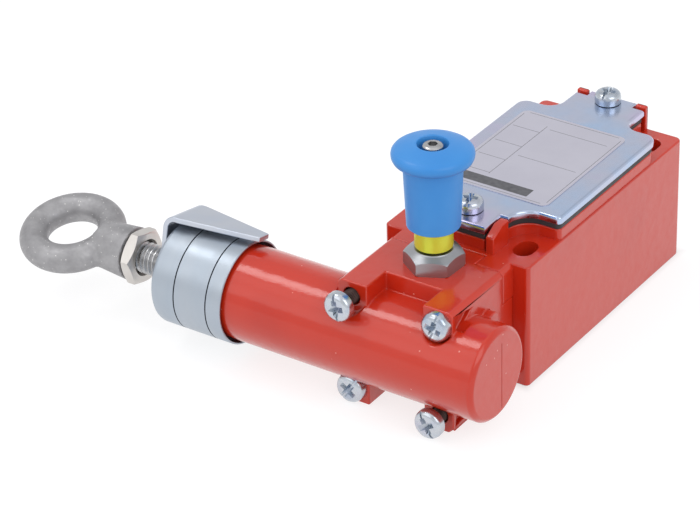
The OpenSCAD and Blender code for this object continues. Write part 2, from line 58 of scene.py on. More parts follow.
VIEW_AZIMUTH = radians(34.608)
VIEW_HEIGHT = radians(30.966)
VIEW_ROLL = radians(-1.551)
VIEW_DISTANCE = 823.85 * MM
VIEW_TARGET = Vector((-30.667, -38.288, 19.6)) * MM
VIEW_LENS = 171.19
TENT = (0.80, 0.80, 0.81)
TENT_SIDE, TENT_UPPER, TENT_TOP = (0.60, 0.60, 0.61), (0.78, 0.78, 0.79), (0.95, 0.95, 0.96)
TABLE_SIZE, TABLE_BELOW = 6.0, 0.1 * MM
TABLE_GREY = (0.30, 0.30, 0.305)
GLOW_SEEN, GLOW_IN_GLOSS, GLOW_CAST = 0.78, 0.74, 0.45
# Painted shadow: the table's glow is taken away over this half size of the switch's footprint, and fades back
# in between the two distances below, measured past its edge.
PAINTED_SHADOW_HALF_SIZE = (18 * MM, 36 * MM, 0)
SHADE_FROM, SHADE_TO = -8 * MM, 4 * MM

camera = bpy.data.objects.new("camera", bpy.data.cameras.new("camera"))
bpy.context.collection.objects.link(camera)
bpy.context.scene.camera = camera
camera.data.lens = VIEW_LENS
camera.data.clip_start, camera.data.clip_end = 0.05, 20
back = Vector((sin(VIEW_AZIMUTH) * cos(VIEW_HEIGHT), -cos(VIEW_AZIMUTH) * cos(VIEW_HEIGHT),
               sin(VIEW_HEIGHT)))
level = Vector((cos(VIEW_AZIMUTH), sin(VIEW_AZIMUTH), 0))
upright = back.cross(level)
right = level * cos(VIEW_ROLL) + upright * sin(VIEW_ROLL)
top = upright * cos(VIEW_ROLL) - level * sin(VIEW_ROLL)
camera.matrix_world = Matrix.Translation(VIEW_TARGET + back * VIEW_DISTANCE) @ Matrix(
    (right, top, back)).transposed().to_4x4()
bpy.context.scene.view_settings.view_transform = "Standard"


def add(tree, kind, inputs=None, **settings):
    """New node in a tree; inputs holds a value or another node's output for each socket."""
    made = tree.nodes.new(kind)
    for key, value in settings.items():
        setattr(made, key, value)
    for key, value in (inputs or {}).items():
        if isinstance(value, bpy.types.NodeSocket):
            tree.links.new(value, made.inputs[key])
        else:
            made.inputs[key].default_value = value
    return made


def ramp(tree, factor, *stops):
    """Colour ramp with (position, colour) stops."""
    made = add(tree, "ShaderNodeValToRGB", {"Fac": factor})
    while len(made.color_ramp.elements) < len(stops):
        made.color_ramp.elements.new(0.5)
    for element, (position, colour) in zip(made.color_ramp.elements, stops):
        element.position = position
        element.color = (*colour, 1)
    return made.outputs["Color"]


world = bpy.data.worlds.new("tent")
bpy.context.scene.world = world
world.use_nodes = True
tree = world.node_tree
tree.nodes.clear()
path = add(tree, "ShaderNodeLightPath")
height = add(tree, "ShaderNodeSeparateXYZ",
             {"Vector": add(tree, "ShaderNodeTexCoord").outputs["Generated"]})
wall = ramp(tree, height.outputs["Z"], (0.0, TENT), (0.5, TENT), (0.64, TENT_SIDE), (0.8, TENT_UPPER),
            (1.0, TENT_TOP))
seen = add(tree, "ShaderNodeBackground", {"Color": (1, 1, 1, 1), "Strength": 1.0})
lit = add(tree, "ShaderNodeBackground", {"Color": wall, "Strength": 1.0})
both = add(tree, "ShaderNodeMixShader",
           {0: path.outputs["Is Camera Ray"], 1: lit.outputs[0], 2: seen.outputs[0]})
add(tree, "ShaderNodeOutputWorld", {"Surface": both.outputs[0]})

table_bm = bmesh.new()
bmesh.ops.create_grid(table_bm, x_segments=1, y_segments=1, size=TABLE_SIZE / 2)
bmesh.ops.translate(table_bm, verts=table_bm.verts, vec=(0, 0, -TABLE_BELOW))
table_mesh = bpy.data.meshes.new("table")
table_bm.to_mesh(table_mesh)
table_bm.free()
table = bpy.data.objects.new("table", table_mesh)
bpy.context.collection.objects.link(table)
table_finish = bpy.data.materials.new("white_table")
table_finish.use_nodes = True
tree = table_finish.node_tree
tree.nodes.clear()
path = add(tree, "ShaderNodeLightPath")
shaded = add(tree, "ShaderNodeBsdfDiffuse", {"Color": (*TABLE_GREY, 1)})
# Painted shadow: a mask that is 0 under the switch's footprint and rises to 1 just beyond its edge, dimming
# the table's glow there.
spot = add(tree, "ShaderNodeVectorMath", {0: add(tree, "ShaderNodeTexCoord").outputs["Object"]},
           operation="ABSOLUTE")
past = add(tree, "ShaderNodeVectorMath", {0: spot.outputs[0], 1: PAINTED_SHADOW_HALF_SIZE}, operation="SUBTRACT")
off = add(tree, "ShaderNodeSeparateXYZ", {0: past.outputs[0]})
clear = add(tree, "ShaderNodeMath", {0: off.outputs["X"], 1: off.outputs["Y"]}, operation="MAXIMUM")
beyond_painted_shadow = add(tree, "ShaderNodeMapRange",
                 {"Value": clear.outputs[0], "From Min": SHADE_FROM, "From Max": SHADE_TO})


def glowing(strength):
    """The table's own glow, taken away under the switch and just around it as a painted shadow."""
    faded = add(tree, "ShaderNodeMath", {0: beyond_painted_shadow.outputs[0], 1: strength}, operation="MULTIPLY")
    return add(tree, "ShaderNodeEmission", {"Strength": faded.outputs[0]})


glow, gloss, cast = glowing(GLOW_SEEN), glowing(GLOW_IN_GLOSS), glowing(GLOW_CAST)
own = add(tree, "ShaderNodeMixShader",
          {0: path.outputs["Is Glossy Ray"], 1: cast.outputs[0], 2: gloss.outputs[0]})
own = add(tree, "ShaderNodeMixShader",
          {0: path.outputs["Is Camera Ray"], 1: own.outputs[0], 2: glow.outputs[0]})
both = add(tree, "ShaderNodeAddShader", {0: shaded.outputs[0], 1: own.outputs[0]})
add(tree, "ShaderNodeOutputMaterial", {"Surface": both.outputs[0]})
table.data.materials.append(table_finish)


def lamp(name, place, size, power):
    """Soft square lamp at place, turned towards the switch."""
    data = bpy.data.lights.new(name, "AREA")
    data.size, data.energy = size, power
    made = bpy.data.objects.new(name, data)
    bpy.context.collection.objects.link(made)
    made.location = place
    made.rotation_mode = "QUATERNION"
    made.rotation_quaternion = (-Vector(place)).to_track_quat("-Z", "Y")


lamp("overhead", (-0.62, -0.14, 1.08), 0.3, 1.3)
lamp("front", (-0.5, -1.0, 0.9), 1.1, 3.0)
lamp("right", (0.9, -0.3, 0.8), 0.8, 3.0)

# ---- Body casting ----
# Zinc-alloy die casting with a glossy red coat: the open-topped box that holds the
# contacts, with four fixing slots, a threaded cable inlet and stops for the cover.

CAST_EDGE = 0.4 * MM
RED = (0.60, 0.028, 0.008)
RED_DEEP = (0.56, 0.024, 0.007)
SPECK = (0.75, 0.25, 0.20)
COAT_ROUGHNESS = 0.13
EJECTOR_R, EJECTOR_DEEP = 2.6 * MM, 0.2 * MM
EJECTOR_X, EJECTOR_NEAR, EJECTOR_FAR = 12 * MM, -14 * MM, 12 * MM
SLOT_X, SLOT_NEAR, SLOT_FAR = 15 * MM, 12.35 * MM, 72.35 * MM
MOUTH_ACROSS, MOUTH_ALONG = 2.8 * MM, 3.8 * MM
LUG = 4.6 * MM
INLET_R, INLET_CREST, INLET_PITCH = 9.25 * MM, 8.75 * MM, 1.5 * MM
INLET_HEIGHT, INLET_DEEP, INLET_SINK, INLET_ROOT = 17 * MM, 8.2 * MM, 0.9 * MM, 0.06 * MM


def finish(name, colour, metallic=0.0, roughness=0.5, coat=0.0, gloss=0.5, sheen=0.0):
    """Finish whose constants sit on the shader's own sockets."""
    made = bpy.data.materials.new(name)
    made.use_nodes = True
    shader = made.node_tree.nodes["Principled BSDF"]
    for socket, value in (("Base Color", (*colour, 1)), ("Metallic", metallic), ("Roughness", roughness),
                          ("Coat Weight", coat), ("Coat Roughness", COAT_ROUGHNESS),
                          ("Specular IOR Level", gloss), ("Sheen Weight", sheen)):
        shader.inputs[socket].default_value = value
    return made


def surface(made, tones=None, tone_scale=60, rough=None, rough_scale=300, bumps=(), stretch=(1, 1, 1)):
    """Adds what a real surface varies by: tones of colour, patches of roughness, and bumps given
    as (scale per metre, height in metres). Returns the pattern's coordinates."""
    tree = made.node_tree
    shader = tree.nodes["Principled BSDF"]
    place = add(tree, "ShaderNodeMapping", {"Vector": add(tree, "ShaderNodeTexCoord").outputs["Object"],
                                            "Scale": stretch}).outputs[0]
    if tones:
        cloud = add(tree, "ShaderNodeTexNoise", {"Vector": place, "Scale": tone_scale, "Detail": 5})
        spread = [(0.3 + 0.4 * i / (len(tones) - 1), tone) for i, tone in enumerate(tones)]
        tree.links.new(ramp(tree, cloud.outputs["Fac"], *spread), shader.inputs["Base Color"])
    if rough:
        patch = add(tree, "ShaderNodeTexNoise", {"Vector": place, "Scale": rough_scale, "Detail": 6})
        worn = add(tree, "ShaderNodeMapRange", {"Value": patch.outputs["Fac"], "From Min": 0.3,
                                                "From Max": 0.7, "To Min": rough[0], "To Max": rough[1]})
        tree.links.new(worn.outputs[0], shader.inputs["Roughness"])
    normal = None
    for scale, rise in bumps:
        noise = add(tree, "ShaderNodeTexNoise", {"Vector": place, "Scale": scale, "Detail": 4})
        links = {"Height": noise.outputs["Fac"], "Distance": rise, "Strength": 1.0}
        if normal:
            links["Normal"] = normal
        normal = add(tree, "ShaderNodeBump", links).outputs["Normal"]
    if normal:
        tree.links.new(normal, shader.inputs["Normal"])
        tree.links.new(normal, shader.inputs["Coat Normal"])
    return place


def specks_and_glints(made, place, colour, cell, share, size=0.16):
    """Tiny spots: specks in the red coat, and painted glints on the eye nut; a share of the cells, each a few
    tenths of a millimetre, holds one.
    """
    tree = made.node_tree
    shader = tree.nodes["Principled BSDF"]
    cells = add(tree, "ShaderNodeTexVoronoi", {"Vector": place, "Scale": 1 / cell})
    dot = add(tree, "ShaderNodeMath", {0: cells.outputs["Distance"], 1: size}, operation="LESS_THAN")
    pick = add(tree, "ShaderNodeSeparateXYZ", {"Vector": cells.outputs["Color"]})
    few = add(tree, "ShaderNodeMath", {0: pick.outputs["X"], 1: share}, operation="LESS_THAN")
    both = add(tree, "ShaderNodeMath", {0: dot.outputs[0], 1: few.outputs[0]}, operation="MULTIPLY")
    old = shader.inputs["Base Color"].links[0].from_socket
    mixed = add(tree, "ShaderNodeMix", {"Factor": both.outputs[0]}, data_type="RGBA")
    tree.links.new(old, mixed.inputs[6])
    mixed.inputs[7].default_value = (*colour, 1)
    tree.links.new(mixed.outputs[2], shader.inputs["Base Color"])


def as_object(bm, name):
    """A mesh as an object of the scene."""
    mesh = bpy.data.meshes.new(name)
    bm.to_mesh(mesh)
    bm.free()
    made = bpy.data.objects.new(name, mesh)
    bpy.context.collection.objects.link(made)
    return made


def piece(bm, name, made_of, body, node=None, sharp=35):
    """Finished piece: smooth but for its edges, in its finish, riding on a body, in a node's place."""
    for edge in bm.edges:
        edge.smooth = len(edge.link_faces) == 2 and edge.calc_face_angle(pi) < radians(sharp)
    for face in bm.faces:
        face.smooth = True
    made = as_object(bm, name)
    for one in made_of if isinstance(made_of, (list, tuple)) else [made_of]:
        made.data.materials.append(one)
    even = made.modifiers.new("even_shading", "WEIGHTED_NORMAL")
    even.keep_sharp = True
    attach(made, body)
    if node:
        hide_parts(node)
    return made


def copy_of(node):
    """The CAD solids of a node as one merged mesh with whole flat faces."""
    bm = bmesh.new()
    bm.from_mesh(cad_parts[node].data)
    bmesh.ops.remove_doubles(bm, verts=bm.verts, dist=0.002 * MM)
    bmesh.ops.dissolve_limit(bm, angle_limit=radians(0.6), verts=bm.verts, edges=bm.edges)
    return bm


def round_edges(bm, radius, segments=3, above=30, where=None):
    """Rounds the edges that turn by more than an angle, and that where picks, if it is given."""
    edges = [e for e in bm.edges if len(e.link_faces) == 2 and e.calc_face_angle(0) > radians(above)
             and (where is None or where(e))]
    bmesh.ops.bevel(bm, geom=edges, offset=radius, offset_type="OFFSET", segments=segments, profile=0.5,
                    material=-1, affect="EDGES", clamp_overlap=False)
    return bm


def laid(bm, place, axis=Z, turn=0):
    """Something made along Z from the origin, laid along an axis from a place and turned about it."""
    lay = Z.rotation_difference(Vector(axis)).to_matrix().to_4x4()
    bmesh.ops.transform(bm, verts=bm.verts, matrix=Matrix.Translation(place) @ lay
                        @ Matrix.Rotation(radians(turn), 4, "Z"))
    return bm


def spun(profile, steps=64, axis=Z, at=(0, 0, 0), edge=0.0):
    """Solid of revolution from (radius, height) points that start and end on the axis, or go round a
    bore and close on themselves; its turned edges are rounded, and it is laid along axis at a place."""
    bm = bmesh.new()
    closed = profile[0][0] > 0
    verts = [bm.verts.new((r, 0, z)) for r, z in profile]
    edges = [bm.edges.new(pair) for pair in zip(verts, verts[1:] + verts[:1] if closed else verts[1:])]
    bmesh.ops.spin(bm, geom=verts + edges, cent=(0, 0, 0), axis=(0, 0, 1), angle=2 * pi, steps=steps,
                   use_merge=True)
    bmesh.ops.remove_doubles(bm, verts=bm.verts, dist=0.001 * MM)
    bmesh.ops.recalc_face_normals(bm, faces=bm.faces)
    if edge:
        round_edges(bm, edge, above=20)
    return laid(bm, at, axis)


def cut(bm, tool, how="DIFFERENCE"):
    """bm less the tool, or what the two share, or both as one."""
    solid, other = as_object(bm, "solid"), as_object(tool, "tool")
    step = solid.modifiers.new("cut", "BOOLEAN")
    step.object, step.operation, step.solver = other, how, "EXACT"
    made = bmesh.new()
    made.from_object(solid, bpy.context.evaluated_depsgraph_get())
    for used in (solid, other):
        mesh = used.data
        bpy.data.objects.remove(used)
        bpy.data.meshes.remove(mesh)
    bmesh.ops.remove_doubles(made, verts=made.verts, dist=0.001 * MM)
    return made


def brick(low, high):
    """Block between two corners."""
    bm = bmesh.new()
    low, high = Vector(low), Vector(high)
    bmesh.ops.create_cube(bm, size=1, matrix=Matrix.Translation((low + high) / 2)
                          @ Matrix.Diagonal((*(high - low), 1)))
    return bm


def joined(parts):
    """Several meshes as one."""
    whole = bmesh.new()
    for part in parts:
        mesh = bpy.data.meshes.new("part")
        part.to_mesh(mesh)
        part.free()
        whole.from_mesh(mesh)
        bpy.data.meshes.remove(mesh)
    return whole


red_coat = finish("red_coat", RED, roughness=0.34, coat=1.0, gloss=0.15)
red_place = surface(red_coat, tones=(RED_DEEP, RED, RED), tone_scale=45, rough=(0.28, 0.42),
                    rough_scale=500, bumps=((240, 0.085 * MM), (1500, 0.005 * MM)))
specks_and_glints(red_coat, red_place, SPECK, 1.4 * MM, 0.022)

body_low, body_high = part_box("switch_body")


def cast_corner(edge):
    """Outer corners, but for the fixing slots' mouths, which lie close to the rim."""
    spot = (edge.verts[0].co + edge.verts[1].co) / 2
    at_mouth = any(abs(abs(spot.x) - SLOT_X) < MOUTH_ACROSS and abs(spot.y - y) < MOUTH_ALONG
                   for y in (body_low.y + SLOT_NEAR, body_low.y + SLOT_FAR))
    return not at_mouth and edge.calc_face_angle_signed(0) > 0


casting = copy_of("switch_body")
strip = 2 * CAST_EDGE
for axis, at in ((X, body_low.x + strip), (X, body_high.x - strip), (Y, body_low.y + LUG + strip),
                 (Y, body_high.y - strip), (Z, body_low.z + strip)):
    bmesh.ops.bisect_plane(casting, geom=casting.verts[:] + casting.edges[:] + casting.faces[:],
                           dist=0.001 * MM, plane_co=axis * at, plane_no=axis)
round_edges(casting, CAST_EDGE, where=cast_corner)
marks = [spun([(0, -MM), (EJECTOR_R, -MM), (EJECTOR_R, EJECTOR_DEEP), (0, EJECTOR_DEEP)], 32,
              at=(x, y, body_low.z)) for x in (-EJECTOR_X, EJECTOR_X) for y in (EJECTOR_NEAR, EJECTOR_FAR)]
casting = cut(casting, joined(marks))
piece(casting, "body_casting", red_coat, "housing", "switch_body")

inlet_root = INLET_R - INLET_ROOT
inlet_profile = [(INLET_R, 0)]
for i in range(int(INLET_DEEP / INLET_PITCH)):
    inlet_profile += [(inlet_root, i * INLET_PITCH), (INLET_CREST, (i + 0.5) * INLET_PITCH)]
inlet_profile += [(inlet_root, INLET_DEEP), (INLET_R, INLET_DEEP)]
piece(spun(inlet_profile, 72, Y, (0, body_high.y - INLET_SINK - INLET_DEEP, INLET_HEIGHT)), "inlet_thread",
      red_coat, "housing", sharp=80)

# ---- Contact block ----
# Black moulded block screwed to the body's floor. Four stamped brass strips carry the fixed
# contacts, each under a square clamp plate and a terminal screw.

BLACK = (0.030, 0.030, 0.032)
BRASS = (0.74, 0.53, 0.24)
ZINC = (0.52, 0.57, 0.64)
THREAD_BROWN = (0.06, 0.035, 0.03)
MOULD_EDGE, STRIP_EDGE, SMALL_EDGE = 0.3 * MM, 0.12 * MM, 0.2 * MM
CROSS_DEEP, CROSS_TIP, CROSS_MOUTH, CROSS_THIN = 0.64, 0.22, 1.22, 0.33
SLOT_HALF, SLOT_FLOOR = 0.075, 0.66
SHANK_ROOT, SHANK_CREST = 0.84, 0.985
FINE_PITCH, EARTH_PITCH = 0.5 * MM, 0.6 * MM
TERMINAL_HEAD_R, TERMINAL_HEAD_H = 2.9 * MM, 2.1 * MM
TERMINAL_SHANK_R, TERMINAL_SHANK_LONG = 1.45 * MM, 8.4 * MM
BLOCK_HEAD_R, BLOCK_HEAD_H, BLOCK_SHANK_R = 2.4 * MM, 1.8 * MM, 1.4 * MM
EARTH_HEAD_R, EARTH_HEAD_H = 2.9 * MM, 2.0 * MM
EARTH_SHANK_R, EARTH_SHANK_LONG = 1.65 * MM, 4.9 * MM

black_moulding = finish("black_moulding", BLACK, roughness=0.5)
surface(black_moulding, tones=((0.024, 0.024, 0.026), (0.042, 0.042, 0.044)), rough=(0.42, 0.6),
        bumps=((2500, 0.01 * MM),))
brass = finish("stamped_brass", BRASS, metallic=1.0, roughness=0.3)
surface(brass, tones=((0.66, 0.46, 0.20), (0.78, 0.58, 0.30)), rough=(0.22, 0.4), bumps=((900, 0.004 * MM),),
        stretch=(1, 6, 1))
zinc = finish("blue_zinc", ZINC, metallic=1.0, roughness=0.24)
surface(zinc, tones=((0.42, 0.49, 0.60), (0.58, 0.62, 0.66), (0.52, 0.55, 0.64)), tone_scale=260,
        rough=(0.16, 0.34), rough_scale=900, bumps=((700, 0.004 * MM),))
dark_zinc = finish("rolled_thread", THREAD_BROWN, metallic=0.7, roughness=0.5)
surface(dark_zinc, tones=((0.045, 0.028, 0.025), (0.085, 0.05, 0.045)), tone_scale=500, rough=(0.34, 0.52),
        bumps=((1200, 0.006 * MM),))

piece(round_edges(copy_of("contact_block"), MOULD_EDGE), "contact_block_moulding", black_moulding, "housing",
      "contact_block")
piece(round_edges(copy_of("fixed_contacts"), STRIP_EDGE, 2), "contact_strips", brass, "housing",
      "fixed_contacts")
piece(round_edges(copy_of("terminal_clamps"), SMALL_EDGE, 2), "clamp_plates", zinc, "housing",
      "terminal_clamps")


def screw(head_r, head_h, shank_r, shank_l, pitch=0.7 * MM, slotted=True):
    """Pan-head screw with a cross recess and a slot, both as shares of its head; its rolled thread
    hangs down from z = 0."""
    head = spun([(0, head_h), (head_r * 0.55, head_h * 0.985), (head_r * 0.76, head_h * 0.93),
                 (head_r * 0.89, head_h * 0.82), (head_r * 0.965, head_h * 0.67), (head_r, head_h * 0.48),
                 (head_r, head_h * 0.06), (head_r * 0.97, 0), (0, 0)], 56)
    deep = head_h * CROSS_DEEP
    for turn in (45, 135):
        arm = bmesh.new()
        bmesh.ops.create_cone(arm, cap_ends=True, segments=4, radius1=head_r * CROSS_TIP,
                              radius2=head_r * CROSS_MOUTH, depth=deep * 1.6)
        bmesh.ops.rotate(arm, verts=arm.verts, matrix=Matrix.Rotation(radians(45), 3, "Z"))
        bmesh.ops.scale(arm, verts=arm.verts, vec=(1, CROSS_THIN, 1))
        bmesh.ops.translate(arm, verts=arm.verts, vec=(0, 0, head_h - deep * 0.2))
        bmesh.ops.rotate(arm, verts=arm.verts, matrix=Matrix.Rotation(radians(turn), 3, "Z"))
        head = cut(head, arm)
    if slotted:
        slot = brick((-head_r * 1.2, -head_r * SLOT_HALF, head_h * SLOT_FLOOR),
                     (head_r * 1.2, head_r * SLOT_HALF, head_h * 2))
        bmesh.ops.rotate(slot, verts=slot.verts, matrix=Matrix.Rotation(radians(45), 3, "Z"))
        head = cut(head, slot)
    ridges = []
    for i in range(int((shank_l - pitch) / pitch)):
        ridges += [(shank_r * SHANK_ROOT, -(i + 0.6) * pitch), (shank_r * SHANK_CREST, -(i + 1.0) * pitch),
                   (shank_r * SHANK_CREST, -(i + 1.12) * pitch)]
    shank = spun([(0, -0.02 * MM), (shank_r * 0.86, -0.02 * MM), *ridges, (shank_r * 0.72, -shank_l),
                  (0, -shank_l)], 40)
    for face in shank.faces:
        face.material_index = 1
    return joined([head, shank])


low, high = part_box("terminal_screws")
left, right_side = low.x + TERMINAL_HEAD_R, high.x - TERMINAL_HEAD_R
near, far = low.y + TERMINAL_HEAD_R, high.y - TERMINAL_HEAD_R
piece(joined([laid(screw(TERMINAL_HEAD_R, TERMINAL_HEAD_H, TERMINAL_SHANK_R, TERMINAL_SHANK_LONG, FINE_PITCH),
                   (x, y, high.z - TERMINAL_HEAD_H), turn=turn)
              for x, y, turn in ((left, near, 12), (right_side, near, 50), (left, far, 70),
                                 (right_side, far, 33))]),
      "terminal_screw_set", (zinc, dark_zinc), "housing", "terminal_screws")
low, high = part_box("block_screws")
block_shank = high.z - low.z - BLOCK_HEAD_H
piece(joined([laid(screw(BLOCK_HEAD_R, BLOCK_HEAD_H, BLOCK_SHANK_R, block_shank, FINE_PITCH, slotted=False),
                   (x, (low.y + high.y) / 2, high.z - BLOCK_HEAD_H), turn=turn)
              for x, turn in ((low.x + BLOCK_HEAD_R, 20), (high.x - BLOCK_HEAD_R, 65))]),
      "block_screw_pair", (zinc, dark_zinc), "housing", "block_screws")
low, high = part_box("earth_screw")
piece(laid(screw(EARTH_HEAD_R, EARTH_HEAD_H, EARTH_SHANK_R, EARTH_SHANK_LONG, EARTH_PITCH),
           ((low.x + high.x) / 2, (low.y + high.y) / 2, high.z - EARTH_HEAD_H), turn=28),
      "earth_terminal", (brass, brass), "housing", "earth_screw")

# ---- Plunger and contact bridges ----
# White moulded plunger that the cam pushes towards the inlet. It carries two brass bridges,
# passes a rubber seal in the body's wall and is returned by a small coil spring.

WHITE = (0.78, 0.77, 0.71)
RUBBER = (0.022, 0.022, 0.024)
SPRING_GREY = (0.45, 0.45, 0.46)
PLUNGER_EDGE, BRIDGE_EDGE = 0.25 * MM, 0.15 * MM
WIRE_SIDES = 10
CONTACT_WIRE, CONTACT_COIL_R, CONTACT_TURNS = 0.9 * MM, 2.6 * MM, 6

white_moulding = finish("white_moulding", WHITE, roughness=0.42)
surface(white_moulding, tones=((0.74, 0.73, 0.66), (0.82, 0.81, 0.76)), rough=(0.35, 0.5),
        bumps=((1800, 0.006 * MM),))
rubber = finish("black_rubber", RUBBER, roughness=0.62, sheen=0.15)
surface(rubber, tones=((0.018, 0.018, 0.02), (0.034, 0.034, 0.036)), rough=(0.5, 0.75),
        bumps=((1500, 0.012 * MM),))
spring_steel = finish("spring_steel", SPRING_GREY, metallic=1.0, roughness=0.26)
surface(spring_steel, tones=((0.38, 0.38, 0.39), (0.52, 0.52, 0.53)), tone_scale=400, rough=(0.2, 0.36),
        bumps=((2000, 0.003 * MM),))


def wound(coil_r, wire, length, turns, steps=20):
    """Coil spring of round wire from z = 0 to z = length, its end turns closed up flat."""
    bm = bmesh.new()
    bmesh.ops.create_circle(bm, cap_ends=True, segments=WIRE_SIDES, radius=wire / 2,
                            matrix=Matrix.Translation((coil_r, 0, wire / 2))
                            @ Matrix.Rotation(pi / 2, 4, "X"))
    geom = bm.verts[:] + bm.edges[:] + bm.faces[:]
    closing = 1.0
    open_rise = (length - wire - 2 * closing * wire) / (turns - 2 * closing)
    for count, rise in ((closing, wire), (turns - 2 * closing, open_rise), (closing, wire)):
        n = round(count * steps)
        grown = bmesh.ops.spin(bm, geom=geom, cent=(0, 0, 0), axis=(0, 0, 1), dvec=(0, 0, rise * count / n),
                               angle=2 * pi * count, steps=n, use_merge=False)
        geom = grown["geom_last"]
    bmesh.ops.remove_doubles(bm, verts=bm.verts, dist=0.001 * MM)
    discs = sorted((f for f in bm.faces if len(f.verts) == WIRE_SIDES),
                   key=lambda f: f.calc_center_median().z)
    bmesh.ops.delete(bm, geom=discs[1:-1], context="FACES_ONLY")
    bmesh.ops.recalc_face_normals(bm, faces=bm.faces)
    return bm


piece(round_edges(copy_of("contact_plunger"), PLUNGER_EDGE, 2), "plunger_moulding", white_moulding,
      "plunger_group", "contact_plunger")
piece(round_edges(copy_of("contact_bridges"), BRIDGE_EDGE, 2), "bridge_strips", brass, "plunger_group",
      "contact_bridges")
piece(round_edges(copy_of("plunger_seal"), SMALL_EDGE, 2), "plunger_seal_ring", rubber, "housing",
      "plunger_seal")
low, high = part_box("contact_spring")
return_spring = piece(laid(wound(CONTACT_COIL_R, CONTACT_WIRE, high.y - low.y, CONTACT_TURNS),
                           ((low.x + high.x) / 2, low.y, (low.z + high.z) / 2), Y), "return_spring",
                      spring_steel, "housing", "contact_spring")
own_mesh(return_spring)

# ---- Cover ----
# Zinc-plated sheet cover over a moulded rubber gasket, held by two pan-head screws. The
# rating label is a foil sheet with a ruled table and one dark bar on it.

PLATE = (0.56, 0.59, 0.76)
FOIL = (0.58, 0.57, 0.65)
INK = (0.10, 0.10, 0.11)
SHEET_EDGE, UNDER_EDGE, GASKET_EDGE = 0.8 * MM, 0.25 * MM, 0.25 * MM
COVER_HEAD_R, COVER_HEAD_H, COVER_GAP = 3.4 * MM, 3.1 * MM, 0.15 * MM
COVER_SHANK_R, COVER_PITCH, FAR_SHANK_LESS = 1.98 * MM, 0.8 * MM, 2.4 * MM
LABEL_CORNER = 2.0 * MM
LABEL_MARGIN, LABEL_LINE = 0.8 * MM, 0.14 * MM
BAND_FROM, BAND_DEEP, BAND_END = 1.9 * MM, 3.6 * MM, 6.6 * MM
COLUMN_AT, COLUMN_GAP, COLUMN_END, RULE_END = 9.4 * MM, 1.5 * MM, 5 * MM, 2.5 * MM
COLUMN_CROSSES = (7.4 * MM, 14.8 * MM, 22.6 * MM, 31.2 * MM)
WIDE_RULES = (18.4 * MM, 33.8 * MM)

piece(round_edges(copy_of("cover_gasket"), GASKET_EDGE, 2), "cover_gasket_ring", rubber, "housing",
      "cover_gasket")
plated = finish("plated_sheet", PLATE, metallic=1.0, roughness=0.30)
surface(plated, tones=((0.43, 0.60, 0.85), (0.56, 0.59, 0.72), (0.64, 0.54, 0.77)), tone_scale=38,
        rough=(0.16, 0.26), rough_scale=500, bumps=((60, 0.03 * MM),))
cover = copy_of("cover_plate")
mid_sheet = (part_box("cover_plate")[0].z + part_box("cover_plate")[1].z) / 2
round_edges(cover, SHEET_EDGE, 5, where=lambda edge: min(v.co.z for v in edge.verts) > mid_sheet)
round_edges(cover, UNDER_EDGE, 2, where=lambda edge: max(v.co.z for v in edge.verts) < mid_sheet - 0.3 * MM)
piece(cover, "cover_sheet", plated, "housing", "cover_plate")

foil = finish("label_foil", FOIL, metallic=0.55, roughness=0.42)
surface(foil, tones=((0.56, 0.55, 0.63), (0.60, 0.59, 0.67)), rough=(0.36, 0.48), bumps=((1500, 0.002 * MM),))
ink = finish("label_ink", INK, roughness=0.55)
surface(ink, tones=((0.08, 0.08, 0.09), (0.13, 0.13, 0.14)), tone_scale=900, rough=(0.45, 0.6))
label_low, label_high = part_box("rating_label")
sheet = brick(label_low, label_high)
corners = [e for e in sheet.edges if abs((e.verts[0].co - e.verts[1].co).z) > 0.1 * MM]
bmesh.ops.bevel(sheet, geom=corners, offset=LABEL_CORNER, segments=8, profile=0.5, material=-1,
                affect="EDGES")
inked = []


def rule(x0, y0, x1, y1):
    """A printed patch between two corners measured from the label's low corner."""
    inked.append((label_low.x + x0, label_low.y + y0, label_low.x + x1, label_low.y + y1))


wide, long = label_high.x - label_low.x, label_high.y - label_low.y
near, far = LABEL_MARGIN, LABEL_MARGIN + LABEL_LINE
for x0, x1 in ((near, far), (wide - far, wide - near)):
    rule(x0, LABEL_CORNER, x1, long - LABEL_CORNER)
for y0, y1 in ((near, far), (long - far, long - near)):
    rule(LABEL_CORNER, y0, wide - LABEL_CORNER, y1)
rule(BAND_FROM, BAND_FROM, wide - BAND_END, BAND_FROM + BAND_DEEP)
rule(COLUMN_AT, BAND_FROM + BAND_DEEP + COLUMN_GAP, COLUMN_AT + LABEL_LINE, long - COLUMN_END)
for y in COLUMN_CROSSES:
    rule(2 * near, y, COLUMN_AT, y + LABEL_LINE)
for y in WIDE_RULES:
    rule(COLUMN_AT + COLUMN_GAP, y, wide - RULE_END, y + LABEL_LINE)
cuts_across = {x for x0, y0, x1, y1 in inked for x in (x0, x1)}
cuts_along = {y for x0, y0, x1, y1 in inked for y in (y0, y1)}
for axis, places in ((X, cuts_across), (Y, cuts_along)):
    for at in places:
        bmesh.ops.bisect_plane(sheet, geom=sheet.verts[:] + sheet.edges[:] + sheet.faces[:],
                               dist=0.0005 * MM, plane_co=axis * at, plane_no=axis)
for face in sheet.faces:
    spot = face.calc_center_median()
    if face.normal.z > 0.9 and any(x0 < spot.x < x1 and y0 < spot.y < y1 for x0, y0, x1, y1 in inked):
        face.material_index = 1
piece(sheet, "label_sheet", (foil, ink), "housing", "rating_label")

